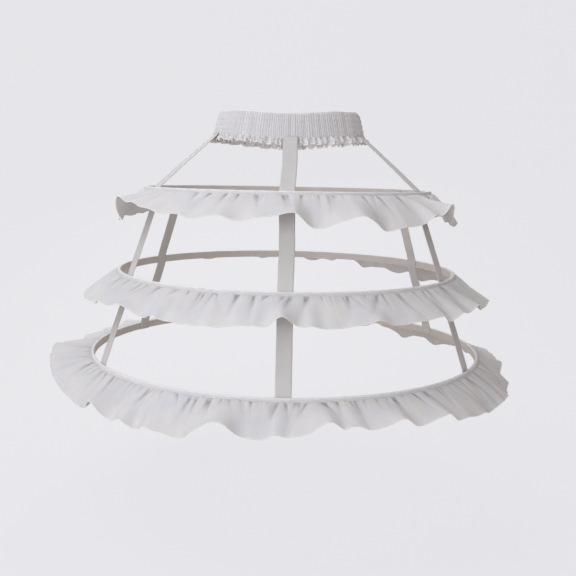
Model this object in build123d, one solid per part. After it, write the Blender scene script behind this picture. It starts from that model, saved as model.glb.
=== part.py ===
from build123d import *
import os
from math import atan2, cos, floor, hypot, pi, radians, sin, sqrt

# Crinoline cage: three sprung hoops in cloth casings, each with a gathered ruffle,
# joined by six flat tapes, four of which hang from a shirred elastic waistband.
# +Z is up, the front faces -Y, and the origin is in the middle of the waistband,
# on the wearer's waistline. Angles round the cage start at the front and grow towards +X.

# Waistband: gathered cloth on an oval elastic band, with a frill below the seam
waist_width = 224.0
waist_depth = 184.0
waist_flare = 9.0
waistband_height = 36.0
waist_rise = 7.0
elastic_thickness = 1.6
waist_gather_count = 42
waist_gather_depth = 1.2
frill_drop = 10.0
frill_flare = 2.0
frill_wave = 3.0

# Cloth, and the room left between pieces that lie on each other
cloth_thickness = 0.8
seat_clearance = 0.2

# Hoops: radius of the boning, and the drop from the waistline to the casing's upper edge
top_hoop_radius = 234.0
top_hoop_drop = 96.0
middle_hoop_radius = 278.0
middle_hoop_drop = 229.0
bottom_hoop_radius = 322.0
bottom_hoop_drop = 362.0

# Boning, its joiner sleeve and the casing that they slide in
boning_width = 10.0
boning_thickness = 1.2
boning_end_gap = 2.0
joiner_length = 26.0
joiner_wall = 0.5
joiner_fit = 0.15
joiner_angle = radians(150)
channel_clearance = 0.15
casing_wall = 0.8
casing_sides = 66

# Ruffles: slant width of the cloth, where it is sewn on, and how deep it gathers
ruffle_width = 64.0
ruffle_setback = 5.0
ruffle_gather_depth = 1.6
steps_per_flute = 4

# Flutes round each ruffle, and its slope below the horizontal, as shares of a quarter turn, at eight
# even places: front, front right, right, back right, back, back left, left and front left
top_flutes = 24
top_slope_shares = (0.32, 0.32, 0.42, 0.40, 0.40, 0.46, 0.46, 0.22)
middle_flutes = 26
middle_slope_shares = (0.30, 0.32, 0.45, 0.27, 0.17, 0.12, 0.33, 0.29)
bottom_flutes = 28
bottom_slope_shares = (0.22, 0.26, 0.42, 0.24, 0.14, 0.11, 0.08, 0.36)

# How far a flute swings above and below that slope, and how uneven the flutes are in depth and place
swing_share = 0.13
uneven_depth_share = 0.35
uneven_place_share = 0.30
uneven_cycles = 3

# Tapes down to the bottom hoop, and their places on the hoops and on the waist, as shares of a turn.
# The two that have no place on the waist hang from the top hoop.
strap_width = 22.0
strap_thickness = 0.8
strap_tab = 8.0
strap_hoop_shares = {
    "front": 0.0,
    "front_right": 0.165,
    "back_right": 0.335,
    "back": 0.5,
    "back_left": 0.665,
    "front_left": 0.835,
}
strap_waist_shares = {"front": 0.0, "front_right": 0.2, "back": 0.5, "front_left": 0.8}

# Sizes that follow from those above
waistband_top = waistband_height / 2
waistband_bottom = -waistband_height / 2
elastic_top = waistband_top - cloth_thickness - seat_clearance
gather_seat = elastic_thickness + seat_clearance
joiner_height = boning_width + 2 * (joiner_fit + joiner_wall)
joiner_depth = boning_thickness + 2 * (joiner_fit + joiner_wall)
channel_height = joiner_height + 2 * channel_clearance
channel_depth = joiner_depth + 2 * channel_clearance
casing_height = channel_height + 2 * casing_wall
casing_depth = channel_depth + 2 * casing_wall

hoops = {
    "top": (top_hoop_radius, top_hoop_drop, top_flutes, top_slope_shares),
    "middle": (middle_hoop_radius, middle_hoop_drop, middle_flutes, middle_slope_shares),
    "bottom": (bottom_hoop_radius, bottom_hoop_drop, bottom_flutes, bottom_slope_shares),
}


def around(angle, radius, height):
    """The point at an angle round the cage, a radius from its axis."""
    return Vector(radius * sin(angle), -radius * cos(angle), height)


def waist_half_sizes(height, offset):
    """Half width and half depth of the oval waist, offset outwards from the elastic's inner face."""
    flare = waist_flare * (waistband_top - height) / waistband_height
    return waist_width / 2 + flare + offset, waist_depth / 2 + flare + offset


def waist_radius(angle, height, offset):
    """Distance from the axis to the offset oval at an angle."""
    half_width, half_depth = waist_half_sizes(height, offset)
    return half_width * half_depth / hypot(half_depth * sin(angle), half_width * cos(angle))


def waist_lift(angle):
    """How far the band rises from its front and back, where the tapes pull it down, to its sides."""
    return waist_rise * (1 - cos(angle) ** 4)


def cloth_ring(outer, inner):
    """A closed ring of cloth between rings of points on its two faces, from one edge to the other."""
    strips = list(zip(outer, outer[1:])) + list(zip(inner, inner[1:]))
    strips += [(outer[0], inner[0]), (outer[-1], inner[-1])]
    faces = []
    for ring, following in strips:
        for here in range(len(ring)):
            beside = (here + 1) % len(ring)
            for corners in (
                (ring[here], ring[beside], following[here]),
                (ring[beside], following[beside], following[here]),
            ):
                faces.append(Face(Wire.make_polygon(corners)))
    return Solid(Shell(faces))


def waist_ring(height, offset, wave):
    """Points round the oval waist, every second one swelled outwards by a wave."""
    points = []
    for step in range(2 * waist_gather_count):
        angle = pi * step / waist_gather_count
        swell = wave * (step % 2)
        radius = waist_radius(angle, height, offset + swell)
        points.append(around(angle, radius, height + waist_lift(angle)))
    return points


def waist_elastic():
    """The flat elastic inside the waistband."""
    edges = (elastic_top, waistband_bottom)
    outer = [waist_ring(height, elastic_thickness, 0) for height in edges]
    inner = [waist_ring(height, 0, 0) for height in edges]
    return cloth_ring(outer, inner)


def waistband():
    """Gathered cloth turned over the elastic's upper edge, with a frill below the seam."""
    frill_hem = waistband_bottom - frill_drop
    frill_seat = gather_seat + frill_flare
    fold = waistband_top - cloth_thickness
    outer = [
        waist_ring(waistband_top, 0, 0),
        waist_ring(waistband_top, gather_seat + cloth_thickness, waist_gather_depth),
        waist_ring(waistband_bottom, gather_seat + cloth_thickness, waist_gather_depth),
        waist_ring(frill_hem, frill_seat + cloth_thickness, frill_wave),
    ]
    inner = [
        waist_ring(fold, 0, 0),
        waist_ring(fold, gather_seat, waist_gather_depth),
        waist_ring(waistband_bottom, gather_seat, waist_gather_depth),
        waist_ring(frill_hem, frill_seat, frill_wave),
    ]
    return cloth_ring(outer, inner)


def hoop_section(radius, drop, depth, height):
    """An upright rectangle on the hoop's radius, centred on the casing's height."""
    return Plane.XZ * Pos(radius, -drop - casing_height / 2) * Rectangle(depth, height)


def arc_about(section, centre_angle, arc):
    """A section revolved through an arc, centred on an angle round the cage."""
    turned = revolve(section, Axis.Z, revolution_arc=arc * 180 / pi)
    return Rot(0, 0, (centre_angle - arc / 2) * 180 / pi - 90) * turned


def cloth_band(radius, drop, depth, height):
    """An upright band in short straights round a hoop, roomy enough for a ring of that depth."""
    outside = RegularPolygon(radius + depth / 2, casing_sides, major_radius=False)
    inside = RegularPolygon(radius - depth / 2, casing_sides)
    lower_edge = -drop - (casing_height + height) / 2
    return Pos(0, 0, lower_edge) * extrude(outside - inside, height)


def casing(radius, drop):
    """The cloth channel that a hoop slides in."""
    outside = cloth_band(radius, drop, casing_depth, casing_height)
    return outside - cloth_band(radius, drop, channel_depth, channel_height)


def hoop(radius, drop):
    """Flat boning bent to a ring, whose ends face each other inside the joiner."""
    section = hoop_section(radius, drop, boning_thickness, boning_width)
    return arc_about(section, joiner_angle + pi, 2 * pi - boning_end_gap / radius)


def hoop_joiner(radius, drop):
    """The flat sleeve over the boning's two ends."""
    outside = hoop_section(radius, drop, joiner_depth, joiner_height)
    bore = hoop_section(
        radius, drop, boning_thickness + 2 * joiner_fit, boning_width + 2 * joiner_fit
    )
    return arc_about(outside - bore, joiner_angle, joiner_length / radius)


def eased_share(angle, shares):
    """A value at an angle, eased between the values at even places round the cage."""
    place = angle / (2 * pi) * len(shares)
    before = floor(place)
    ease = (1 - cos(pi * (place - before))) / 2
    near = shares[before % len(shares)]
    far = shares[(before + 1) % len(shares)]
    return near + (far - near) * ease


def ruffle(radius, drop, flutes, slope_shares):
    """A strip of cloth gathered on to the casing's outer face, fluted more and more towards its hem."""
    count = flutes * steps_per_flute
    drift = uneven_place_share * 2 * pi / flutes
    widest_step = 2 * pi / count * (1 + drift * uneven_cycles)
    casing_corner = (radius + casing_depth / 2) / cos(pi / casing_sides)
    seat = (casing_corner + seat_clearance) / cos(widest_step / 2)
    line_height = -drop - ruffle_setback
    upper_line, upper_hem, lower_line, lower_hem = [], [], [], []
    for step in range(count):
        turn = 2 * pi * step / count
        unevenness = uneven_cycles * turn + flutes
        angle = turn + drift * sin(unevenness)
        wave = cos(2 * pi * step / steps_per_flute)
        swing = swing_share * wave * (1 + uneven_depth_share * cos(unevenness))
        slope = (eased_share(angle, slope_shares) - swing) * pi / 2
        line_radius = seat + ruffle_gather_depth * (1 + wave) / 2
        hem_radius = line_radius + ruffle_width * cos(slope)
        hem_height = line_height - ruffle_width * sin(slope)
        out = cloth_thickness * sin(slope)
        up = cloth_thickness * cos(slope)
        upper_line.append(around(angle, line_radius + out, line_height + up))
        upper_hem.append(around(angle, hem_radius + out, hem_height + up))
        lower_line.append(around(angle, line_radius, line_height))
        lower_hem.append(around(angle, hem_radius, hem_height))
    return cloth_ring([upper_line, upper_hem], [lower_line, lower_hem])


def strap(name):
    """A flat tape, sewn to the waistband's lower edge and to the inner face of each casing."""
    path = []
    if name in strap_waist_shares:
        angle = 2 * pi * strap_waist_shares[name]
        offset = gather_seat + waist_gather_depth + cloth_thickness + seat_clearance + strap_thickness / 2
        half_width, half_depth = waist_half_sizes(waistband_bottom, offset)
        facing = atan2(sin(angle) / half_width**2, cos(angle) / half_depth**2)
        for height in (waistband_bottom + strap_tab, waistband_bottom):
            radius = waist_radius(angle, height, offset)
            path.append((around(angle, radius, height + waist_lift(angle)), facing))
    angle = 2 * pi * strap_hoop_shares[name]
    for radius, drop, _, _ in hoops.values():
        inner_face = (radius - casing_depth / 2) * cos(pi / casing_sides)
        seat = sqrt(inner_face**2 - (strap_width / 2) ** 2) - seat_clearance - strap_thickness / 2
        for height in (-drop, -drop - casing_height):
            path.append((around(angle, seat, height), angle))

    section_corners = ((-1, -1), (1, -1), (1, 1), (-1, 1))
    sections = []
    for place, (centre, facing) in enumerate(path):
        across = around(facing + pi / 2, strap_width / 2, 0)
        points = [point for point, _ in path[max(place - 1, 0) : place + 2]]
        outward = [(far - near).cross(across).normalized() for near, far in zip(points, points[1:])]
        bisector = (outward[0] + outward[-1]).normalized()
        through = bisector * (strap_thickness / 2 / bisector.dot(outward[0]))
        corners = [centre + across * side + through * face for side, face in section_corners]
        sections.append(Wire.make_polygon(corners))
    return Solid.make_loft(sections, ruled=True)


nodes = {"waistband": waistband(), "waist_elastic": waist_elastic()}
for name in strap_hoop_shares:
    nodes[f"strap_{name}"] = strap(name)
for name, (radius, drop, flutes, slope_shares) in hoops.items():
    nodes[f"{name}_casing"] = casing(radius, drop)
    nodes[f"{name}_hoop"] = hoop(radius, drop)
    nodes[f"{name}_hoop_joiner"] = hoop_joiner(radius, drop)
    nodes[f"{name}_ruffle"] = ruffle(radius, drop, flutes, slope_shares)

os.makedirs("parts", exist_ok=True)
for name, solid in nodes.items():
    solid.label = name
    export_step(solid, f"parts/{name}.step")
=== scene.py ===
import math

import bpy
import numpy as np
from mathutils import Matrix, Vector


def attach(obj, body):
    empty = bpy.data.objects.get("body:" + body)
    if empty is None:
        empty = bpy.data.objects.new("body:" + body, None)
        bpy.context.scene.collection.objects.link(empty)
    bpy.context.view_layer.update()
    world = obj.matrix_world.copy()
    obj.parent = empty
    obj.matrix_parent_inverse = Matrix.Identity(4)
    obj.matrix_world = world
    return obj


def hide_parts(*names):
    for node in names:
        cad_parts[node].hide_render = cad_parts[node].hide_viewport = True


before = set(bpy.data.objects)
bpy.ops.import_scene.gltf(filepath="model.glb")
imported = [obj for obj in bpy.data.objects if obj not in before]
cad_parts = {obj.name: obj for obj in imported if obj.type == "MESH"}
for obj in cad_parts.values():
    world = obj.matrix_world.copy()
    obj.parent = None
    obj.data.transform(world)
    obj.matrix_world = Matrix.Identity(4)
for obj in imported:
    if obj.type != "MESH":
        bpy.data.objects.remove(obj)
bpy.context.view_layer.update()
scene = bpy.context.scene
scene.view_settings.view_transform = "Standard"

# Sizes are in millimetres, as in the part's source, and angles start at the front and grow towards +X.
MM = 0.001
TURN = 2 * math.pi

# Waistband: gathered cloth round an oval elastic, with a frill below the seam
WAIST_HALF_WIDTH = 112.0
WAIST_HALF_DEPTH = 92.0
WAIST_FLARE = 9.0
WAIST_RISE = 7.0
WAIST_CLOTH_THICKNESS = 0.4
WAIST_WEAVE_PER_RADIAN = 190.0
BAND_TOP = 18.0
BAND_SEAM = -18.0
BAND_SEAT = 1.9
BAND_ROWS = 22
# Height, and offset from the elastic's inner face, of the turned-in hem and of the fold over the elastic
TURNED_HEM = ((6.0, -1.2), (10.0, -1.0), (14.0, -0.9), (17.0, -0.9), (18.4, -0.5), (19.0, 0.6))
UPPER_FOLD = ((18.9, 1.7), (18.2, 2.5), (16.6, BAND_SEAT + 0.9))
RIB_COUNT = 192
RIB_HEIGHT = 1.35
STEPS_PER_RIB = 6
SHIRRING_ROWS = (13.0, 4.5, -4.0, -12.5)
FRILL_DROP = 8.8
FRILL_ROWS = 9
FRILL_CURLS = 70
FRILL_CURL_DEPTH = 3.0

# Hoops: radius of the boning and drop to the casing's upper edge
HOOPS = {"top": (234.0, 96.0), "middle": (278.0, 229.0), "bottom": (322.0, 362.0)}
CASING_HEIGHT = 13.2
CASING_DEPTH = 4.4
CASING_WALL = 0.6
CASING_CORNER = 1.1
CASING_CORNER_STEPS = 3
CASING_COLUMNS = 420

# Ruffles: slant width, how far below the casing's upper edge they are sewn on, and how full they are.
# Gathers and longer valleys fade over a length between two limits, and the heading gets a painted highlight.
RUFFLE_WIDTH = 64.0
RUFFLE_SETBACK = 5.0
RUFFLE_CLOTH_THICKNESS = 0.5
RUFFLE_COLUMNS_PER_MM = 4.8
PUFF_HEIGHT = 6.6
GATHER_REACH = (7.0, 34.0)
VALLEY_REACH = (25.0, 90.0)
VALLEY_DEPTH = (2.0, 5.8)
HEADING_PAINTED_HIGHLIGHT = -0.14

# Irregular waves are drawn from a set number of harmonics, so that a mesh's fineness doesn't change them
WAIST_HARMONICS = 673
CASING_HARMONICS = 211
RUFFLE_HARMONICS_PER_MM = 3.2

# Tapes: their places on the hoops and on the waist, as shares of a turn. Two hang from the top hoop.
TAPE_WIDTH = 22.0
TAPE_THICKNESS = 0.55
TAPE_SELVEDGE = 0.35
TAPE_STEP = 2.6
TAPE_SLACK = 1.6
TAPE_WAIST_HEIGHTS = (-15.5, -19.0)
TAPE_WAIST_OFFSET = 4.9
TAPE_WAIST_OVAL = 13.0
TAPE_EDGE_GAP = 0.35
TAPE_INSET = 0.6
TAPES = {
    "front": (0.0, 0.005),
    "front_right": (0.165, 0.2),
    "back_right": (0.335, None),
    "back": (0.5, 0.5),
    "back_left": (0.665, None),
    "front_left": (0.835, 0.8),
}

# Sewing: a stitch's stations are its share of the length, share of the thickness and lift in thicknesses
STITCH_THICKNESS = 0.5
STITCH_STATIONS = ((0.0, 0.45, -0.5), (0.2, 1.0, 0.1), (0.8, 1.0, 0.1), (1.0, 0.45, -0.5))
GATHER_STITCH_STEP = 3.4
GATHER_STITCH_LENGTH = 2.3
TACK_STEP = 2.6
TACK_LENGTH = 1.9
TACK_ROWS_AT_WAIST = (1.2, 3.4)
TACK_ROWS_ON_CASING = (3.0, 10.0)
OVERLOCK_STEP = 3.1


# Colours and nodes. Of the sockets given by number, Map Range's 1 to 4 are its limits from and to,
# Mix's 6 and 7 are its two colours, and Vector Math's 3 is its scale.


def linear(hex_colour):
    """An sRGB hex colour as linear red, green, blue and alpha."""
    channels = [int(hex_colour[i : i + 2], 16) / 255 for i in (1, 3, 5)]
    return [c / 12.92 if c <= 0.04045 else ((c + 0.055) / 1.055) ** 2.4 for c in channels] + [1.0]


def node(tree, kind, inputs=None, **settings):
    """Adds a node with its settings, and its inputs as values or as links from other nodes' outputs."""
    made = tree.nodes.new(kind)
    for name, value in settings.items():
        setattr(made, name, value)
    for socket, value in (inputs or {}).items():
        if isinstance(value, bpy.types.NodeSocket):
            tree.links.new(value, made.inputs[socket])
        else:
            made.inputs[socket].default_value = value
    return made


def new_material(name, **shader_values):
    """An empty material with one shader, whose constant values go straight on to its sockets."""
    material = bpy.data.materials.new(name)
    material.use_nodes = True
    tree = material.node_tree
    tree.nodes.clear()
    shader = node(tree, "ShaderNodeBsdfPrincipled", shader_values)
    node(tree, "ShaderNodeOutputMaterial", {"Surface": shader.outputs[0]})
    return material, tree, shader


def lay_of(tree, across_mm, along_mm):
    """The cloth's own flat coordinates, as they are and as radians of a pattern of that spacing."""
    lay = node(tree, "ShaderNodeAttribute", attribute_name="lay")
    waves = (TURN / across_mm, TURN / along_mm, 1.0)
    scaled = node(tree, "ShaderNodeVectorMath", {0: lay.outputs["Vector"], 1: waves}, operation="MULTIPLY")
    return lay.outputs["Vector"], node(tree, "ShaderNodeSeparateXYZ", {0: scaled.outputs[0]}).outputs


def woven_cloth(name, lit, warm, painted_shade, thread_mm, bump_mm):
    """Plain-woven bleached cotton blend: matt and slightly hairy, shading softly, with painted shade in folds.
    """
    material, tree, shader = new_material(
        name,
        Roughness=0.88,
        IOR=1.5,
        **{
            "Sheen Weight": 0.12,
            "Sheen Roughness": 0.5,
            "Specular IOR Level": 0.25,
            # So thin a cloth lets some light through
            "Subsurface Weight": 0.35,
            "Subsurface Radius": (1.0, 0.96, 0.92),
            "Subsurface Scale": 1.5 * MM,
        },
    )
    lay, (across, along, _) = lay_of(tree, thread_mm, thread_mm)
    warp = node(tree, "ShaderNodeMath", {0: across}, operation="SINE")
    weft = node(tree, "ShaderNodeMath", {0: along}, operation="SINE")
    weave = node(tree, "ShaderNodeMath", {0: warp.outputs[0], 1: weft.outputs[0]}, operation="MULTIPLY")
    # Uneven yarn and handling leave broad, faint patches about 30 mm across
    patches = node(tree, "ShaderNodeTexNoise", {"Vector": lay, "Scale": 1 / 30, "Detail": 3.0})
    # Painted shade: each point's share of the fold colour, which darkens creases, hollows and faces turned from
    # the light
    painted_shade_share = node(tree, "ShaderNodeAttribute", attribute_name="painted_shade")
    cast = node(tree, "ShaderNodeMapRange", {0: patches.outputs["Color"], 1: 0.38, 2: 0.62, 3: 0.0, 4: 1.0})
    toned = node(tree, "ShaderNodeMix", {0: cast.outputs[0], 6: linear(lit), 7: linear(warm)}, data_type="RGBA")
    # Not clamped, because a painted shade value below nought paints the cloth lighter, as a painted highlight
    with_painted_shade = node(
        tree,
        "ShaderNodeMix",
        {0: painted_shade_share.outputs["Fac"], 6: toned.outputs[2], 7: linear(painted_shade)},
        data_type="RGBA",
        clamp_factor=False,
    )
    shade = node(tree, "ShaderNodeMapRange", {0: patches.outputs["Fac"], 1: 0.3, 2: 0.7, 3: 0.965, 4: 1.02})
    yarn = node(tree, "ShaderNodeMapRange", {0: weave.outputs[0], 1: -1.0, 2: 1.0, 3: 0.975, 4: 1.0})
    both = node(tree, "ShaderNodeMath", {0: shade.outputs[0], 1: yarn.outputs[0]}, operation="MULTIPLY")
    colour = node(
        tree, "ShaderNodeVectorMath", {0: with_painted_shade.outputs[2], 3: both.outputs[0]}, operation="SCALE"
    )
    tree.links.new(colour.outputs[0], shader.inputs["Base Color"])
    relief = node(
        tree, "ShaderNodeBump", {"Height": weave.outputs[0], "Distance": bump_mm * MM, "Strength": 0.5}
    )
    tree.links.new(relief.outputs[0], shader.inputs["Normal"])
    return material


def ribbed_tape(name, lit, painted_groove_shade, rib_mm, warp_mm, bump_mm):
    """Woven ribbed polyester tape: fine weft ribs across it, crowns painted lighter, grooves in painted shade.
    """
    material, tree, shader = new_material(
        name, Roughness=0.62, IOR=1.5, **{"Sheen Weight": 0.1, "Specular IOR Level": 0.35}
    )
    lay, (across, along, _) = lay_of(tree, warp_mm, rib_mm)
    rib = node(tree, "ShaderNodeMath", {0: along}, operation="SINE")
    warp = node(tree, "ShaderNodeMath", {0: across}, operation="SINE")
    # Painted light and shade: the crowns take the lit colour and the grooves the shade colour
    crown = node(tree, "ShaderNodeMapRange", {0: rib.outputs[0], 1: -1.0, 2: 0.6, 3: 0.0, 4: 1.0})
    # Handling leaves faint patches about as wide as the tape
    patches = node(tree, "ShaderNodeTexNoise", {"Vector": lay, "Scale": 1 / TAPE_WIDTH, "Detail": 2.0})
    wear = node(tree, "ShaderNodeMapRange", {0: patches.outputs["Fac"], 1: 0.3, 2: 0.7, 3: 0.96, 4: 1.02})
    ribbed = node(
        tree, "ShaderNodeMix", {0: crown.outputs[0], 6: linear(painted_groove_shade), 7: linear(lit)}, data_type="RGBA"
    )
    colour = node(tree, "ShaderNodeVectorMath", {0: ribbed.outputs[2], 3: wear.outputs[0]}, operation="SCALE")
    tree.links.new(colour.outputs[0], shader.inputs["Base Color"])
    height = node(
        tree, "ShaderNodeMath", {0: warp.outputs[0], 1: 0.25, 2: rib.outputs[0]}, operation="MULTIPLY_ADD"
    )
    relief = node(
        tree, "ShaderNodeBump", {"Height": height.outputs[0], "Distance": bump_mm * MM, "Strength": 0.5}
    )
    tree.links.new(relief.outputs[0], shader.inputs["Normal"])
    return material


def spun_thread(name, lit, shadow, ply_mm):
    """Spun polyester sewing thread: two plies twisted together, which show as slanting lines."""
    material, tree, shader = new_material(name, Roughness=0.6, IOR=1.5, **{"Sheen Weight": 0.1})
    _, (across, along, _) = lay_of(tree, ply_mm, ply_mm)
    slanted = node(tree, "ShaderNodeMath", {0: across, 1: along}, operation="ADD")
    ply = node(tree, "ShaderNodeMath", {0: slanted.outputs[0]}, operation="SINE")
    crown = node(tree, "ShaderNodeMapRange", {0: ply.outputs[0], 1: -1.0, 2: 0.2, 3: 0.0, 4: 1.0})
    colour = node(
        tree, "ShaderNodeMix", {0: crown.outputs[0], 6: linear(shadow), 7: linear(lit)}, data_type="RGBA"
    )
    tree.links.new(colour.outputs[2], shader.inputs["Base Color"])
    relief = node(tree, "ShaderNodeBump", {"Height": ply.outputs[0], "Distance": 0.15 * MM, "Strength": 0.6})
    tree.links.new(relief.outputs[0], shader.inputs["Normal"])
    return material


def solid_finish(name, light, dark, grain_mm, stretch, bump_mm, **shader_values):
    """A finish with a grain of that size on a CAD solid, stretched along one direction of the cage."""
    material, tree, shader = new_material(name, **shader_values)
    place = node(tree, "ShaderNodeTexCoord").outputs["Object"]
    scaled = node(tree, "ShaderNodeVectorMath", {0: place, 1: stretch}, operation="MULTIPLY")
    grain = node(
        tree, "ShaderNodeTexNoise", {"Vector": scaled.outputs[0], "Scale": 1 / (grain_mm * MM), "Detail": 4.0}
    )
    colour = node(
        tree, "ShaderNodeMix", {0: grain.outputs["Fac"], 6: linear(dark), 7: linear(light)}, data_type="RGBA"
    )
    tree.links.new(colour.outputs[2], shader.inputs["Base Color"])
    relief = node(
        tree, "ShaderNodeBump", {"Height": grain.outputs["Fac"], "Distance": bump_mm * MM, "Strength": 0.4}
    )
    tree.links.new(relief.outputs[0], shader.inputs["Normal"])
    return material


# Threads of about 0.3 mm are too fine to show, so the weave is drawn three times as coarse
# Each cloth's third colour is the painted shade of its folds and hollows
white_cloth = woven_cloth("bleached plain-woven cotton blend", "#D5D6DA", "#DAD9D8", "#837F87", 0.9, 0.10)
# The casing cloth is painted whiter than the ruffles' cloth, as painted light on its upright face; its shade
# colour is painted on its inner face
casing_cloth = woven_cloth("bleached casing cloth", "#F1F1F4", "#F2F1F0", "#D4CEC9", 0.9, 0.10)
shirred_cloth = woven_cloth("shirred plain-woven cotton blend", "#DFDFE3", "#E2E0E1", "#B6B3B8", 0.9, 0.08)
# A thread's plies and a tape's ribs, of about 0.4 mm, are drawn two or three times as coarse as well
hem_thread = spun_thread("overlocked hem thread", "#FFFEFA", "#F5F3EF", 1.4)
sewing_thread = spun_thread("spun polyester sewing thread", "#E2E0E2", "#BDB9BC", 0.9)
white_tape = ribbed_tape("woven ribbed polyester tape", "#D7D6D5", "#C4C2C0", 0.9, 0.7, 0.12)
# Woven elastic: cords of covered rubber run round the band, with a soft matt cover
elastic_band = solid_finish(
    "woven covered elastic", "#DBD9DA", "#BDB9B9", 1.6, (0.06, 0.06, 1.0), 0.3, Roughness=0.8, IOR=1.5
)
# White nylon-coated spring steel: a smooth dipped coat with a faint orange-peel
coated_steel = solid_finish(
    "nylon-coated spring steel", "#E1E1DF", "#D3D3D1", 2.5, (1.0, 1.0, 1.0), 0.03, Roughness=0.38, IOR=1.53
)
# Folded sheet steel: rolled bright, with fine lines along the sheet
sheet_steel = solid_finish(
    "folded bright sheet steel", "#C2C4C6", "#A9ABAE", 0.5, (1.0, 1.0, 12.0), 0.02, Roughness=0.32, Metallic=1.0
)


# Meshes


def around(angle, radius, height):
    """Points at angles round the cage, at a radius from its axis."""
    return np.stack(np.broadcast_arrays(radius * np.sin(angle), -radius * np.cos(angle), height), -1)


def unit(vectors):
    """The same directions with a length of one."""
    return vectors / np.maximum(np.linalg.norm(vectors, axis=-1, keepdims=True), 1e-9)


def run_along(line):
    """Each point's distance from the first one, along the line."""
    return np.concatenate([[0], np.cumsum(np.linalg.norm(np.diff(line, axis=0), axis=1))])


def make_piece(name, points, faces, material, lay, painted_shade=None):
    """A smooth piece that rides on the cage, with its flat cloth coordinates and its share of painted shade."""
    mesh = bpy.data.meshes.new(name)
    mesh.from_pydata((points * MM).tolist(), [], faces.tolist())
    mesh.polygons.foreach_set("use_smooth", np.ones(len(faces), bool))
    flat = np.zeros((len(points), 3), np.float32)
    flat[:, :2] = lay
    mesh.attributes.new("lay", "FLOAT_VECTOR", "POINT").data.foreach_set("vector", flat.ravel())
    # Painted shade for each point, none unless given
    depth = np.zeros(len(points), np.float32) if painted_shade is None else painted_shade.astype(np.float32)
    mesh.attributes.new("painted_shade", "FLOAT", "POINT").data.foreach_set("value", depth)
    mesh.materials.append(material)
    piece = bpy.data.objects.new(name, mesh)
    scene.collection.objects.link(piece)
    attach(piece, "root")
    return piece


def sides_of(index, ring):
    """Each column's points and its neighbour's, all the way round if the cloth is a ring."""
    if ring:
        return index, np.roll(index, -1, axis=1)
    return index[:, :-1], index[:, 1:]


def cloth_shell(face, back, ring):
    """Points and faces of a sheet with two faces and closed edges. Rows go down it and columns along it."""
    rows, columns = face.shape[:2]
    half = rows * columns
    index = np.arange(half).reshape(rows, columns)
    left, right = sides_of(index, ring)
    parts = [
        (left[:-1], left[1:], right[1:], right[:-1]),
        (left[:-1] + half, right[:-1] + half, right[1:] + half, left[1:] + half),
        (left[0], right[0], right[0] + half, left[0] + half),
        (left[-1], left[-1] + half, right[-1] + half, right[-1]),
    ]
    if not ring:
        first, last = index[:, 0], index[:, -1]
        parts.append((first[:-1], first[:-1] + half, first[1:] + half, first[1:]))
        parts.append((last[:-1], last[1:], last[1:] + half, last[:-1] + half))
    quads = np.concatenate([np.stack([c.ravel() for c in corners], -1) for corners in parts])
    points = np.concatenate([face.reshape(-1, 3), back.reshape(-1, 3)])
    return points, quads


def tube_faces(rows, columns):
    """Faces of a ring-shaped tube, whose rows go round its section and columns along it."""
    index = np.arange(rows * columns).reshape(rows, columns)
    below = np.roll(index, -1, axis=0)
    corners = (index, below, np.roll(below, -1, axis=1), np.roll(index, -1, axis=1))
    return np.stack([c.ravel() for c in corners], -1)


def normals_of(face):
    """Outward directions of the points of a ring of cloth."""
    along = np.roll(face, -1, axis=1) - np.roll(face, 1, axis=1)
    across = np.gradient(face, axis=0)
    return unit(np.cross(across, along))


def twice(grid):
    """A value for each point of both faces of a sheet."""
    return np.concatenate([grid.reshape(-1), grid.reshape(-1)])


def flat_lay(rows_mm, columns_mm):
    """Flat coordinates of both faces of a sheet, from those of its rows and its columns."""
    across, along = np.meshgrid(columns_mm, rows_mm)
    return np.stack([twice(across), twice(along)], -1)


def ripple(columns, waves, chance, harmonics):
    """Irregular waves round a ring, about that many of them, with a unit spread."""
    numbers = np.arange(harmonics)
    weights = np.exp(-(((numbers - waves) / (0.35 * waves)) ** 2))
    phases = chance.uniform(0, TURN, harmonics)
    sizes = weights * chance.uniform(0.3, 1.0, harmonics)
    sizes[0] = 0
    wave = np.fft.irfft(sizes * np.exp(1j * phases), columns)
    return wave / wave.std()


def blurred(grid, width):
    """A grid smoothed round its ring over that many columns."""
    columns = grid.shape[1]
    kept = np.exp(-2 * (math.pi * np.fft.rfftfreq(columns) * width) ** 2)
    return np.fft.irfft(np.fft.rfft(grid, axis=1) * kept, columns, axis=1)


# Sewing


def square_to(along, outward):
    """Directions beside a thread and out from the cloth, both square to the thread."""
    beside = unit(np.cross(along, outward))
    return beside, np.cross(beside, along)


def stitches(name, starts, ends, outward):
    """A row of sewn stitches, each a short plump lozenge of thread between its two needle holes."""
    length = np.linalg.norm(ends - starts, axis=1, keepdims=True)
    along = unit(ends - starts)
    beside, outward = square_to(along, outward)
    corners = []
    for share, size, lift in STITCH_STATIONS:
        centre = starts + along * length * share + outward * STITCH_THICKNESS * lift
        for side, up in ((-1, 0), (0, -1), (1, 0), (0, 1)):
            corners.append(centre + (beside * side + outward * up) * STITCH_THICKNESS / 2 * size)
    points = np.stack(corners, 1)
    count, corner_count = points.shape[:2]
    sides = []
    for first in range(0, corner_count - 4, 4):
        near = first + np.arange(4)
        far = near + 4
        sides.append(np.stack([near, far, np.roll(far, -1), np.roll(near, -1)], -1))
    caps = np.array([[0, 1, 2, 3], [15, 14, 13, 12]])
    faces = np.concatenate([*sides, caps])
    all_faces = (faces + corner_count * np.arange(count)[:, None, None]).reshape(-1, 4)
    # The ply's lines start at another place on each stitch
    lay = np.zeros((count * corner_count, 2))
    shares = np.repeat([share for share, _, _ in STITCH_STATIONS], 4)
    lay[:, 0] = (3.0 * np.arange(count)[:, None] + shares).ravel()
    return make_piece(name, points.reshape(-1, 3), all_faces, sewing_thread, lay)


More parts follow.
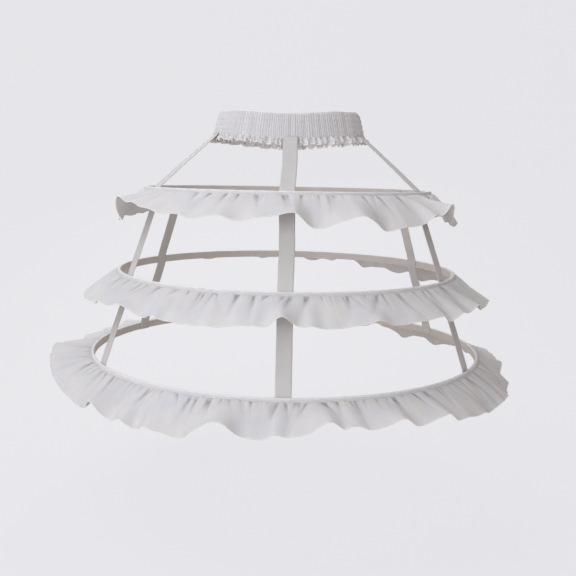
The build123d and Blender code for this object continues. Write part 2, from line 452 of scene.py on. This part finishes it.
def edge_cord(name, line, radius, outward):
    """Overlock thread wrapped round a cloth's edge, as a ring of small, slightly uneven section."""
    along = unit(np.roll(line, -1, axis=0) - np.roll(line, 1, axis=0))
    beside, outward = square_to(along, outward)
    run = run_along(line)
    size = radius * (1 + 0.1 * np.sin(run * TURN / OVERLOCK_STEP))
    sides = 6
    ring = []
    for side in range(sides):
        bend = TURN * side / sides
        ring.append(line + (outward * math.cos(bend) - beside * math.sin(bend)) * size[:, None])
    girth = np.arange(sides) * TURN * radius / sides
    lay = np.stack([np.tile(run, sides), np.repeat(girth, len(line))], -1)
    faces = tube_faces(sides, len(line))[:, ::-1]
    return make_piece(name, np.concatenate(ring), faces, hem_thread, lay)


# Waistband


def waist_lift(angle):
    """How far the band rises from its front and back, where the tapes pull it down, to its sides."""
    return WAIST_RISE * (1 - np.cos(angle) ** 4)


def waist_radius(angle, height, offset):
    """Distance from the axis to the oval waist, offset outwards from the elastic's inner face."""
    flare = WAIST_FLARE * (BAND_TOP - height) / (BAND_TOP - BAND_SEAM)
    half_width = WAIST_HALF_WIDTH + flare + offset
    half_depth = WAIST_HALF_DEPTH + flare + offset
    return half_width * half_depth / np.hypot(half_depth * np.sin(angle), half_width * np.cos(angle))


def waistband():
    """Cloth shirred on to the elastic in fine ribs, turned in at the top, with a curly frill below the seam."""
    chance = np.random.default_rng(11)
    columns = RIB_COUNT * STEPS_PER_RIB
    turn = TURN * np.arange(columns) / columns

    def waves(count):
        """Irregular waves round the waist, about that many of them."""
        return ripple(columns, count, chance, WAIST_HARMONICS)

    angle = turn + 0.3 * TURN / RIB_COUNT * waves(23)
    rib_size = 1 + 0.22 * waves(60)
    rib = np.abs(np.sin(turn * RIB_COUNT / 2)) ** 0.8 * rib_size
    curl_phase = turn * FRILL_CURLS + 0.9 * waves(19)
    curl_size = 1 + 0.45 * waves(25)
    edge_wave = 0.35 * waves(16)

    # Turned-in hem, fold, ribbed band down to the seam, then the frill
    band = [(height, BAND_SEAT + 1.0) for height in np.linspace(15.4, -16.6, BAND_ROWS)]
    face, depth = [], []
    for height, offset in [*TURNED_HEM, *UPPER_FOLD, *band, (BAND_SEAM, BAND_SEAT + 0.7)]:
        ribbed = offset >= BAND_SEAT
        pinch = 1 - 0.62 * sum(math.exp(-(((height - row) / 1.3) ** 2)) for row in SHIRRING_ROWS)
        edge = np.clip((BAND_TOP - height) / 2.5, 0.12, 1) * np.clip((height - BAND_SEAM) / 2.5, 0.4, 1)
        swell = RIB_HEIGHT * rib * pinch * edge if ribbed else 0.15 * rib
        lift = waist_lift(angle) + edge_wave * np.clip(height / BAND_TOP, 0, 1)
        face.append(around(angle, waist_radius(angle, height, offset + swell), height + lift))
        # Painted shade between the ribs, weaker on the turned-in hem and the fold
        depth.append(np.clip(1 - rib / 0.75, 0, 1) * (0.75 if ribbed else 0.2))
    for share in np.linspace(0.08, 1.0, FRILL_ROWS):
        height = BAND_SEAM - FRILL_DROP * share * (1 + 0.05 * edge_wave)
        opening = share**0.8
        curl = FRILL_CURL_DEPTH * opening * curl_size * np.cos(curl_phase)
        out = BAND_SEAT + 0.9 + 1.8 * opening + curl
        sideways = 2.4 * opening * np.sin(2 * curl_phase) / WAIST_HALF_WIDTH
        tip = 2.3 * share * curl_size * (np.sin(curl_phase + 0.6) + 0.35 * np.sin(2 * curl_phase))
        level = height + waist_lift(angle) + tip
        face.append(around(angle - sideways, waist_radius(angle, height, out), level))
        # Painted shade in the hollows of the frill's curls
        depth.append(np.clip(0.5 - 0.5 * np.cos(curl_phase), 0, 1) * 0.9)
    face, depth = np.array(face), np.array(depth)
    outward = normals_of(face)
    back = face - outward * WAIST_CLOTH_THICKNESS
    points, faces = cloth_shell(face, back, True)
    lay = flat_lay(run_along(face[:, 0]), turn * WAIST_WEAVE_PER_RADIAN)
    # Painted shade in the ribs' and curls' hollows is a fifth as strong on the hidden face
    painted_shade_both_faces = np.concatenate([depth.ravel(), 0.2 * depth.ravel()])
    piece = make_piece("waistband_cloth", points, faces, shirred_cloth, lay, painted_shade_both_faces)
    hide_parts("waistband")

    # Each row of shirring is a line of stitches over the ribs
    crown = (np.arange(RIB_COUNT) + 0.5) * STEPS_PER_RIB
    near = np.floor(crown - 1.6).astype(int) % columns
    far = np.ceil(crown + 1.6).astype(int) % columns
    starts, ends, facings = [], [], []
    for row in SHIRRING_ROWS + (BAND_SEAM + 1.0,):
        for index, store in ((near, starts), (far, ends)):
            reach = waist_radius(angle[index], row, BAND_SEAT + 1.05 + 0.5 * rib[index])
            store.append(around(angle[index], reach, row + waist_lift(angle[index])))
        facings.append(around(angle[near], 1.0, 0.0))
    thread = stitches(
        "waistband_shirring_stitches", np.concatenate(starts), np.concatenate(ends), np.concatenate(facings)
    )

    # The folded upper edge and the frill's edge are overlocked
    top = len(TURNED_HEM)
    edges = [
        edge_cord("waistband_upper_edge", face[top], 0.8, outward[top]),
        edge_cord("waistband_frill_edge", (face[-1] + back[-1]) / 2, 0.85, outward[-1]),
    ]


# Hoops' casings


def channel_section():
    """Points round the section of a casing, out from the boning's radius and up from its middle."""
    half_depth, half_height = CASING_DEPTH / 2, CASING_HEIGHT / 2
    section = []
    for side, up, begin in ((1, 1, 0.0), (-1, 1, 0.25), (-1, -1, 0.5), (1, -1, 0.75)):
        for step in range(CASING_CORNER_STEPS + 1):
            bend = TURN * (begin + 0.25 * step / CASING_CORNER_STEPS)
            out = side * (half_depth - CASING_CORNER) + CASING_CORNER * math.cos(bend)
            rise = up * (half_height - CASING_CORNER) + CASING_CORNER * math.sin(bend)
            section.append((out, rise))
        if side == up:
            section.append((0.0, up * half_height))
        else:
            section += [(side * half_depth, up * half_height * share) for share in (0.5, 0.0, -0.5)]
    return np.array(section)


def casing(name, radius, drop):
    """A strip of cloth folded into a flat channel round the boning, drawn in a little by its stitching."""
    chance = np.random.default_rng(int(radius))
    columns = CASING_COLUMNS
    angle = TURN * np.arange(columns) / columns
    half_depth, half_height = CASING_DEPTH / 2, CASING_HEIGHT / 2
    section = channel_section()
    pucker = 0.26 * ripple(columns, radius * TURN / 14, chance, CASING_HARMONICS)
    pucker = pucker + 0.20 * ripple(columns, radius * TURN / 38, chance, CASING_HARMONICS)
    outer, inner = [], []
    middle = -drop - half_height
    for across, up in section:
        # The flat faces waver in and out, and the stitched edges up and down
        flatness = max(0.0, 1 - abs(abs(up) / half_height - 0.5) * 2)
        bulge = pucker * flatness * (1 if across > 0 else -1) * 0.6
        waver = 0.25 * pucker * (abs(up) > half_height - 2 * CASING_CORNER)
        for store, shrink in ((outer, 0.0), (inner, CASING_WALL)):
            radial = across * (1 - shrink / half_depth)
            rise = up * (1 - shrink / half_height)
            store.append(around(angle, radius + radial + bulge, middle + rise + waver))
    outside = tube_faces(len(section), columns)
    faces = np.concatenate([outside[:, ::-1], outside + len(section) * columns])
    points = np.concatenate([np.reshape(outer, (-1, 3)), np.reshape(inner, (-1, 3))])
    lay = flat_lay(run_along(section), angle * radius)
    # The face towards the inside of the cage gets painted shade
    inward = section[:, 0] < 0.01 - half_depth
    painted_inner_shade = twice(np.repeat(inward[:, None], columns, axis=1).astype(float))
    piece = make_piece(f"{name}_casing_cloth", points, faces, casing_cloth, lay, painted_inner_shade)
    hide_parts(f"{name}_casing")


# Ruffles


def alternating(angle, turns):
    """A smooth swing round the ring between the highs and lows of a table of angles and slopes in degrees."""
    table = np.radians(np.array(sorted(turns)))
    places = np.concatenate([table[-1:, 0] - TURN, table[:, 0], table[:1, 0] + TURN])
    values = np.concatenate([table[-1:, 1], table[:, 1], table[:1, 1]])
    angle = np.mod(angle - places[1], TURN) + places[1]
    step = np.clip(np.searchsorted(places, angle, side="right") - 1, 0, len(places) - 2)
    share = (angle - places[step]) / (places[step + 1] - places[step])
    share = (1 - np.cos(math.pi * share)) / 2
    return values[step] * (1 - share) + values[step + 1] * share


# Slope of each ruffle below the horizontal, in degrees, at the highs and lows of its hem
HEM_TURNS = {
    "top": (
        (-172, 40), (-160, 29), (-149, 44), (-138, 35), (-127, 46), (-115, 43), (-103, 49), (-90, 45),
        (-78, 50), (-64, 45), (-55, 8), (-46.4, 15.5), (-40.5, 23), (-28, 29), (-21, 26.5),
        (-11, 30), (1.4, 18.5), (7.4, 41), (19.8, 23.5), (30.4, 47), (42, 37), (46.5, 25), (52.5, 12.5),
        (61, 43), (70, 50), (82, 47), (94, 49), (105, 41), (116, 45), (128, 31), (141, 45), (154, 31),
        (167, 44), (178, 32),
    ),
    "middle": (
        (-174, 16), (-163, 6), (-151, 14), (-141, 4), (-130, 9), (-121, 17), (-112, 36), (-101, 40),
        (-91, 38), (-80, 34), (-70, 31), (-61, 30), (-50, 23), (-40, 20), (-34.5, 33.5), (-30.5, 28),
        (-24.5, 35), (-20, 33), (-16.8, 35.5), (-13, 29), (-8.5, 31), (-6, 27.5), (-3.9, 28),
        (-0.2, 14.5), (5, 29), (12, 31.5), (20.5, 22.5), (26, 30.5), (32, 29.5), (40, 25.5), (45, 38),
        (49, 27), (56, 23), (64, 34), (72, 30), (82, 38), (93, 42), (102, 37), (110, 41), (118, 33),
        (126, 40), (133, 25), (138, 32), (144, 22), (150, 25), (159, 11), (169, 18), (179, 6),
    ),
    "bottom": (
        (-176, 13), (-166, 4), (-156, 13), (-146, 4), (-135, 11), (-124, 5), (-114, 11), (-107, 10),
        (-100, 15), (-93, 6), (-86, -4), (-77, 3), (-70, 11), (-64, 27), (-58, 36), (-51.6, 41),
        (-43.2, 19), (-38.2, 36), (-34.8, 30.5), (-32.3, 43), (-28.8, 33), (-22, 42.5), (-13, 9.5),
        (-4.8, 31), (-0.8, 21.5), (2.4, 25), (8.4, 6.5), (11.4, 14), (13, 9.5), (17.1, 17), (23.5, 9),
        (28.6, 21.5), (33, 11.5), (40, 25), (47, 30), (54, 36), (60, 30), (72, 41), (78.5, 37), (85, 45),
        (95, 24), (104, 19), (112, 36), (118.5, 31), (125, 40), (131.5, 31), (138, 38), (147, 22),
        (156, 27), (165, 11), (173, 18),
    ),
}
# The ruffles' mean slope at eight even places from the front, and the usual gap between gathers along the seam
MEAN_SLOPES = {
    "top": (28.8, 28.8, 37.8, 36.0, 36.0, 41.4, 41.4, 19.8),
    "middle": (27.0, 28.8, 40.5, 24.3, 15.3, 10.8, 29.7, 26.1),
    "bottom": (19.8, 23.4, 37.8, 21.6, 12.6, 9.9, 7.2, 32.4),
}
GATHER_GAPS = {"top": 25.0, "middle": 22.0, "bottom": 18.5}
# Distance of each row from the seam, down the strip. Those above it are the heading, which stands up.
RUFFLE_ROWS = np.array(
    [
        -4.0, -3.0, -2.0, -1.0, 0.0, 0.8, 1.7, 2.8, 4.0, 5.5, 7.2, 9.0, 11.0, 13.5, 16.5, 20.0, 24.0, 28.5,
        33.0, 37.5, 42.0, 46.5, 51.0, 55.5, 59.5, 62.5, 64.0,
    ]
)


def ruffle(name, radius, drop):
    """A strip gathered on to the casing: a short heading, puffs between pinched creases, then wide flutes."""
    chance = np.random.default_rng(int(drop))
    columns = int(radius * RUFFLE_COLUMNS_PER_MM)
    harmonics = int(radius * RUFFLE_HARMONICS_PER_MM) + 1
    angle = math.pi + TURN * np.arange(columns) / columns
    seam_radius = radius + CASING_DEPTH / 2 + 0.5
    seam_length = seam_radius * TURN
    row = RUFFLE_ROWS[:, None]
    down = np.maximum(row, 0)
    share = down / RUFFLE_WIDTH

    def waves(spacing):
        """Irregular waves along the seam, about that far apart."""
        return ripple(columns, seam_length / spacing, chance, harmonics)

    def crease(place, slant, lean, foot, opening, rounding):
        """A slanting crease from a place on the seam, which opens downwards and is steeper on one side."""
        off = np.mod(angle - place + math.pi, TURN) - math.pi
        beside = (seam_radius * off)[None, :] - slant * down
        width = (foot + opening * down) * (1 + lean * np.sign(beside))
        return np.exp(-np.sqrt((beside / width) ** 2 + rounding))

    # The strip's profile follows its mean slope near the seam and the hem's highs and lows further down
    mean = alternating(angle, [(45 * place, slope) for place, slope in enumerate(MEAN_SLOPES[name])])
    hem = alternating(angle, HEM_TURNS[name]) + 0.018 * waves(46)
    weight = 0.35 + 1.3 * share
    slope = mean * (1 - weight) + hem * weight + math.radians(16) * (share - 0.5)
    middle = np.where(row[1:] <= 0, math.pi / 2, (slope[1:] + slope[:-1]) / 2)
    step = np.diff(RUFFLE_ROWS)[:, None]
    start = np.zeros((1, columns))
    reach = seam_radius + np.concatenate([start, np.cumsum(step * np.cos(middle), axis=0)])
    height = -drop - RUFFLE_SETBACK - RUFFLE_ROWS[0]
    height = height - np.concatenate([start, np.cumsum(step * np.sin(middle), axis=0)])

    # Puffs rise between the pinched gathers, which open out and fade down the strip
    count = int(seam_length / GATHER_GAPS[name])
    places = angle[0] + (np.arange(count) + 0.33 * chance.uniform(-1, 1, count)) * TURN / count
    sizes = chance.uniform(0.45, 1.0, count) ** 1.3
    reaches = chance.uniform(*GATHER_REACH, count) * (0.4 + 0.6 * sizes)
    slants = chance.normal(0.0, 0.24, count)
    leans = chance.uniform(-0.7, 0.7, count)
    pinch = np.zeros((len(RUFFLE_ROWS), columns))
    for place, size, length, slant, lean in zip(places, sizes, reaches, slants, leans):
        pinch += size * crease(place, slant, lean, 2.0, 0.06, 0.03) * np.exp(-down / length)
    puff = 1 - np.exp(-down / 2.8)
    swell = PUFF_HEIGHT * puff * (0.5 * np.exp(-down / 26) - pinch)

    # Half as many long valleys run on towards the hem
    valleys = count // 2
    places = angle[0] + (np.arange(valleys) + 0.4 * chance.uniform(-1, 1, valleys)) * 2 * TURN / count
    for place in places:
        slant, lean = chance.normal(0.0, 0.22), chance.uniform(-0.65, 0.65)
        length = chance.uniform(*VALLEY_REACH)
        depth = chance.uniform(*VALLEY_DEPTH) * puff * np.exp(-down / length)
        swell = swell - depth * crease(place, slant, lean, 3.0, 0.11, 0.05)

    # Small puckers at the seam, soft waves at the hem, and tucks in the heading
    fine = 0.75 * waves(6.5) * np.exp(-down / 6)
    fine = fine + 0.25 * waves(15) * np.exp(-down / 18)
    fine = fine + 0.75 * waves(31) * share**1.1
    lift = swell + fine * (1 - np.exp(-down / 4.0))
    lift = np.where(down < 6, np.maximum(lift, 0), lift)
    tuck = np.abs(waves(9)) + 0.5 * np.abs(waves(5))
    lift = lift + 0.22 * tuck * (row <= 0)
    height = height + 0.22 * waves(17) * (row < -2.5)

    smooth = around(angle, reach, height)
    face = smooth + normals_of(smooth) * lift[..., None]
    outward = normals_of(face)
    points, faces = cloth_shell(face, face - outward * RUFFLE_CLOTH_THICKNESS, True)
    # Painted shade in the folds near the seam, and a painted highlight on the heading
    painted_shade = np.clip(-(lift - blurred(lift, 7.5)) / 1.6, 0, 1) ** 1.2 * np.exp(-down / 20)
    painted_shade = np.where(row < 0, HEADING_PAINTED_HIGHLIGHT, painted_shade)
    lay = flat_lay(RUFFLE_ROWS, (angle - angle[0]) * seam_radius * 1.3)
    piece = make_piece(f"{name}_ruffle_cloth", points, faces, white_cloth, lay, twice(painted_shade))
    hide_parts(f"{name}_ruffle")
    edge = edge_cord(f"{name}_ruffle_hem", face[-1] + outward[-1] * 0.1, 0.6, outward[-1])

    # One row of stitches holds the gathers to the casing, just above the seam
    stitch_count = int(seam_length / GATHER_STITCH_STEP)
    near = TURN * np.arange(stitch_count) / stitch_count
    far = near + GATHER_STITCH_LENGTH / seam_radius
    level = -drop - RUFFLE_SETBACK + 1.1
    starts, ends = (around(end, seam_radius - 0.15, level) for end in (near, far))
    thread = stitches(f"{name}_gather_stitches", starts, ends, around((near + far) / 2, 1.0, 0.0))


# Tapes


def smoothed(path, passes):
    """A line of points with its corners eased, its ends kept."""
    for _ in range(passes):
        path = np.concatenate([path[:1], (path[:-2] + 2 * path[1:-1] + path[2:]) / 4, path[-1:]])
    return path


def tape_knots(hoop_share, waist_share):
    """Where a tape bends, from the top down, two places for each seam, and which way it faces there."""
    knots, facings = [], []
    if waist_share is not None:
        angle = TURN * waist_share
        half_width, half_depth = WAIST_HALF_WIDTH + TAPE_WAIST_OVAL, WAIST_HALF_DEPTH + TAPE_WAIST_OVAL
        for height in TAPE_WAIST_HEIGHTS:
            reach = waist_radius(angle, height, TAPE_WAIST_OFFSET)
            knots.append(around(angle, reach, height + waist_lift(angle)))
            facings.append(math.atan2(math.sin(angle) / half_width**2, math.cos(angle) / half_depth**2))
    angle = TURN * hoop_share
    for radius, drop in HOOPS.values():
        # A flat tape meets the round casing's inner face at its two edges
        inner = radius - CASING_DEPTH / 2 - TAPE_EDGE_GAP
        seat = math.sqrt(inner**2 - (TAPE_WIDTH / 2) ** 2) - TAPE_INSET
        upper = -drop + (0.5 if knots else -0.6)
        for height in (upper, -drop - CASING_HEIGHT):
            knots.append(around(angle, seat, height))
            facings.append(angle)
    return np.array(knots), np.unwrap(facings)


def tape(place, hoop_share, waist_share):
    """A flat woven tape, pulled straight from the waist's seam or the top hoop to each casing's inner face."""
    name = f"strap_{place}"
    knots, facings = tape_knots(hoop_share, waist_share)
    runs = run_along(knots)
    run = np.linspace(0, runs[-1], int(runs[-1] / TAPE_STEP))
    centre = smoothed(np.stack([np.interp(run, runs, knots[:, axis]) for axis in range(3)], -1), 3)

    # Square to the oval at the waist and to the hoops below it, with a little slack between them
    turn_in = np.clip((run - runs[1]) / (runs[2] - runs[1]), 0, 1)
    turn_in = turn_in * turn_in * (3 - 2 * turn_in)
    facing = facings[1] + (facings[2] - facings[1]) * turn_in
    chance = np.random.default_rng(int(1000 * TURN * hoop_share) + 5)
    slack = np.zeros_like(run)
    for first in range(1, len(knots) - 1, 2):
        span = np.clip((run - runs[first]) / (runs[first + 1] - runs[first]), 0, 1)
        slack += chance.uniform(-TAPE_SLACK, TAPE_SLACK) * np.sin(math.pi * span) ** 2
    across = np.linspace(-1, 1, 11)
    thickness = TAPE_THICKNESS + TAPE_SELVEDGE * np.abs(across) ** 8
    sideways = around(facing + math.pi / 2, 1.0, 0.0)
    through = unit(np.cross(np.gradient(centre, axis=0), sideways))
    edge_wave = 0.12 * np.sin(run[:, None] * TURN / 37 + across * 1.3)
    width = TAPE_WIDTH / 2 * across + edge_wave + slack[:, None]
    cupped = 0.25 * (across**2 - 0.4) * np.sin(math.pi * turn_in)[:, None]
    middle = centre[:, None] + sideways[:, None] * width[..., None] + through[:, None] * cupped[..., None]
    half = (thickness / 2)[None, :, None] * through[:, None]
    points, faces = cloth_shell(middle + half, middle - half, False)
    lay = flat_lay(run, across * TAPE_WIDTH / 2)
    piece = make_piece(f"{name}_tape", points, faces, white_tape, lay)
    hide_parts(name)

    # Sewn across twice on each casing, from inside, and twice at the waist, from outside
    rests_on = [f"{hoop}_casing_cloth" for hoop in HOOPS]
    marks = []
    if waist_share is not None:
        marks = [(mark, 1) for mark in TACK_ROWS_AT_WAIST]
        rests_on.append("waistband_cloth")
    for first in range(len(knots) - 2 * len(HOOPS), len(knots), 2):
        marks += [(runs[first] + mark, -1) for mark in TACK_ROWS_ON_CASING]
    starts, ends, outward = [], [], []
    for mark, side in marks:
        row = int(np.argmin(np.abs(run - mark)))
        for begin in np.arange(-9.2, 9.0, TACK_STEP):
            for store, where in ((starts, begin), (ends, begin + TACK_LENGTH)):
                store.append(centre[row] + sideways[row] * (where + slack[row]) + through[row] * side * 0.45)
            outward.append(through[row] * side)
    thread = stitches(f"{name}_tacks", np.array(starts), np.array(ends), np.array(outward))


waistband()
for hoop_name, (hoop_radius, hoop_drop) in HOOPS.items():
    casing(hoop_name, hoop_radius, hoop_drop)
    ruffle(hoop_name, hoop_radius, hoop_drop)
for tape_place, (tape_hoop_share, tape_waist_share) in TAPES.items():
    tape(tape_place, tape_hoop_share, tape_waist_share)

finishes = {"waist_elastic": elastic_band}
for hoop_name in HOOPS:
    finishes[f"{hoop_name}_hoop"] = coated_steel
    finishes[f"{hoop_name}_hoop_joiner"] = sheet_steel
for solid_name, finish in finishes.items():
    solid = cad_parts[solid_name]
    solid.data.materials.clear()
    solid.data.materials.append(finish)


# Stage, light and camera, in metres

FLOOR_HEIGHT = -0.62
FLOOR_FRONT = -4.0
BACKDROP_BEND = 0.9
BACKDROP_PLACE = 1.7
BACKDROP_TOP = 3.2
SWEEP_HALF_WIDTH = 5.0
# Place, size, power in watts and colour of each soft box
LAMPS = {
    "overhead_left": ((-1.3, -0.7, 1.7), 1.6, 20.0, "#F3F6FF"),
    "front_fill": ((-0.75, -2.5, 0.4), 1.8, 30.0, "#F3F6FF"),
    "behind": ((-0.1, 1.2, 0.55), 1.2, 11.5, "#F4F7FF"),
}
LAMP_AIM = (0.0, 0.0, -0.2)
CAMERA_PLACE = (0.0035, -1.26, -0.075)
CAMERA_PITCH = math.radians(90 - 8.6)
CAMERA_ROLL = math.radians(1.1)
CAMERA_LENS = 46.5
CAMERA_SENSOR = 36.0


def met_directly(tree):
    """One where a ray comes from the camera, or by way of gloss or glass, and otherwise nought."""
    path = node(tree, "ShaderNodeLightPath").outputs
    seen = {0: path["Is Camera Ray"], 1: path["Is Glossy Ray"]}
    direct = node(tree, "ShaderNodeMath", seen, operation="MAXIMUM")
    either = {0: direct.outputs[0], 1: path["Is Transmission Ray"]}
    return node(tree, "ShaderNodeMath", either, operation="MAXIMUM").outputs[0]


def sweep():
    """A plain pale floor that curves up into a backdrop."""
    profile = [(FLOOR_FRONT, FLOOR_HEIGHT), (-1.0, FLOOR_HEIGHT)]
    for step in range(13):
        turn = math.pi / 2 * step / 12
        back = BACKDROP_PLACE - BACKDROP_BEND + BACKDROP_BEND * math.sin(turn)
        profile.append((back, FLOOR_HEIGHT + BACKDROP_BEND * (1 - math.cos(turn))))
    profile.append((BACKDROP_PLACE, BACKDROP_TOP))
    points = [(x, y, z) for y, z in profile for x in (-SWEEP_HALF_WIDTH, SWEEP_HALF_WIDTH)]
    faces = [(2 * i, 2 * i + 1, 2 * i + 3, 2 * i + 2) for i in range(len(profile) - 1)]
    mesh = bpy.data.meshes.new("studio_sweep")
    mesh.from_pydata(points, [], faces)
    mesh.polygons.foreach_set("use_smooth", np.ones(len(faces), bool))
    # Pale seamless paper: it looks evenly pale to the eye and still takes the cage's shadow
    material = bpy.data.materials.new("pale seamless paper")
    material.use_nodes = True
    tree = material.node_tree
    tree.nodes.clear()
    paper = node(tree, "ShaderNodeBsdfDiffuse", {"Color": linear("#CCC4BC")})
    glow = node(tree, "ShaderNodeEmission", {"Color": linear("#EEEFF4"), "Strength": 1.0})
    share = node(tree, "ShaderNodeMath", {0: met_directly(tree), 1: 0.84}, operation="MULTIPLY")
    mixed = node(tree, "ShaderNodeMixShader", {0: share.outputs[0], 1: paper.outputs[0], 2: glow.outputs[0]})
    node(tree, "ShaderNodeOutputMaterial", {"Surface": mixed.outputs[0]})
    mesh.materials.append(material)
    backdrop = bpy.data.objects.new("studio_sweep", mesh)
    scene.collection.objects.link(backdrop)


def studio_air():
    """Soft light from all round, and a pale background where the world itself is seen."""
    world = bpy.data.worlds.new("studio_air")
    world.use_nodes = True
    tree = world.node_tree
    tree.nodes.clear()
    air = node(tree, "ShaderNodeBackground", {"Color": linear("#EBE4DF"), "Strength": 0.55})
    pale = node(tree, "ShaderNodeBackground", {"Color": linear("#E8E8EC"), "Strength": 1.0})
    mixed = node(tree, "ShaderNodeMixShader", {0: met_directly(tree), 1: air.outputs[0], 2: pale.outputs[0]})
    node(tree, "ShaderNodeOutputWorld", {"Surface": mixed.outputs[0]})
    scene.world = world


def soft_lamp(name, place, size, power, colour):
    """A large square soft box, aimed at the middle of the cage."""
    lamp = bpy.data.lights.new(name, "AREA")
    lamp.shape = "SQUARE"
    lamp.size = size
    lamp.energy = power
    lamp.color = linear(colour)[:3]
    holder = bpy.data.objects.new(name, lamp)
    holder.location = place
    direction = Vector(LAMP_AIM) - Vector(place)
    holder.rotation_euler = direction.to_track_quat("-Z", "Y").to_euler()
    scene.collection.objects.link(holder)


def viewing_camera():
    """The camera at the photograph's viewing angle."""
    lens = bpy.data.cameras.new("camera")
    lens.lens = CAMERA_LENS
    lens.sensor_width = CAMERA_SENSOR
    camera = bpy.data.objects.new("camera", lens)
    camera.location = CAMERA_PLACE
    camera.rotation_mode = "ZYX"
    camera.rotation_euler = (CAMERA_PITCH, 0.0, CAMERA_ROLL)
    scene.collection.objects.link(camera)
    scene.camera = camera


sweep()
studio_air()
for lamp_name, lamp_values in LAMPS.items():
    soft_lamp(lamp_name, *lamp_values)
viewing_camera()
